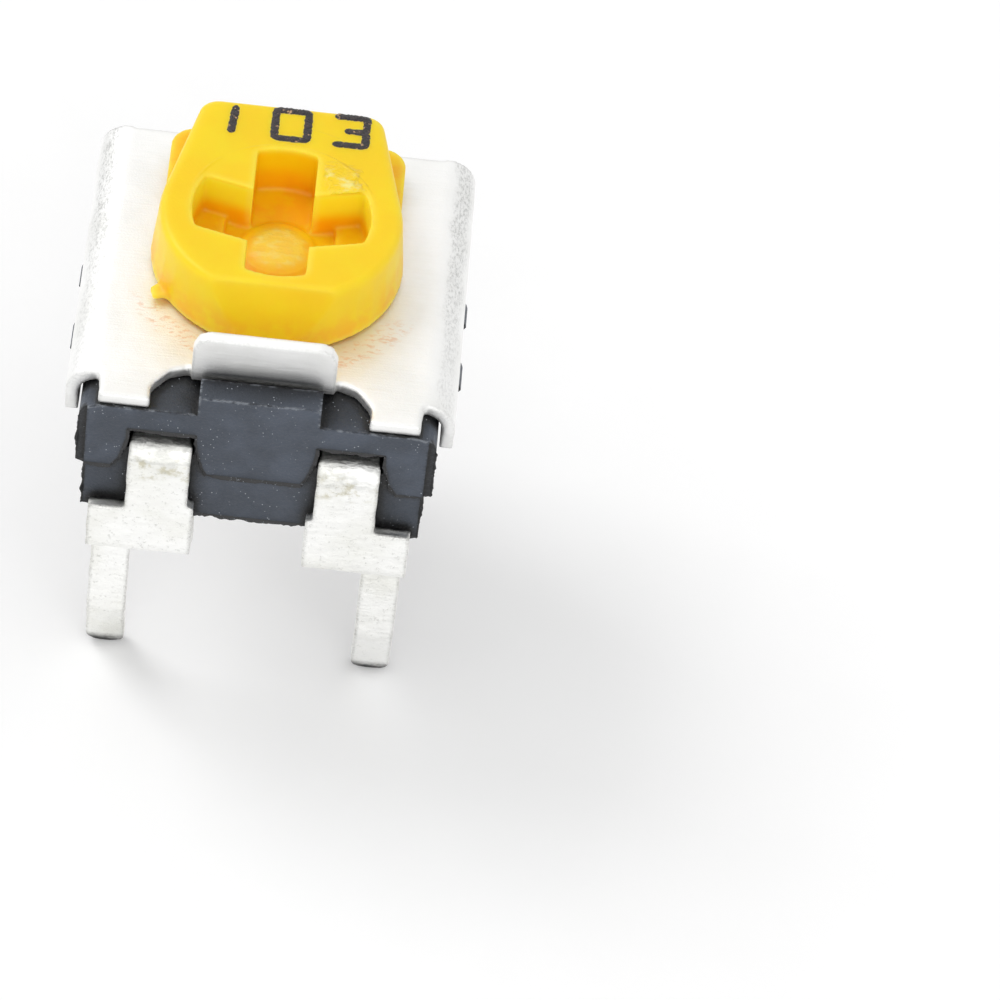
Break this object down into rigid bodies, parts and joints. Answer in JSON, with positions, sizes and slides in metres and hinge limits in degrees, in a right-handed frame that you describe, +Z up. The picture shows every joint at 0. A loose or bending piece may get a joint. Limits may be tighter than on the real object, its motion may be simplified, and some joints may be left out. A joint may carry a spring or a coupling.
{
  "type": "trimming potentiometer",
  "caption": "Small board-mounted trimming potentiometer with a cross-slot rotor, a stamped tin cover and bent pins.",
  "frame": {"origin": "on the rotor's axis, in the plane of the circuit board that the pins' shoulders rest on", "axes": "+Z up along the rotor's axis, away from the board; +Y towards the rear (centre) terminal; +X to the right when the two front terminals face the viewer"},
  "size_m": [0.0072, 0.0078, 0.0095],
  "materials": {
    "base_plastic": "matte",
    "tin_plate": "satin",
    "rotor_plastic": "gloss",
    "spring_metal": "satin",
    "ceramic": "matte"
  },
  "bodies": {
    "housing": {"base": "base_plastic", "cover": "tin_plate", "resistive_element": "ceramic", "terminal_left": "tin_plate", "terminal_right": "tin_plate"},
    "rotor": {"rotor": "rotor_plastic", "wiper": "spring_metal"}
  },
  "joints": [
    {"name": "rotor_turn", "type": "hinge", "parent": "housing", "child": "rotor", "pos_m": [0, 0, 0.005], "axis": [0, 0, 1], "range_deg": [-110, 110]}
  ]
}
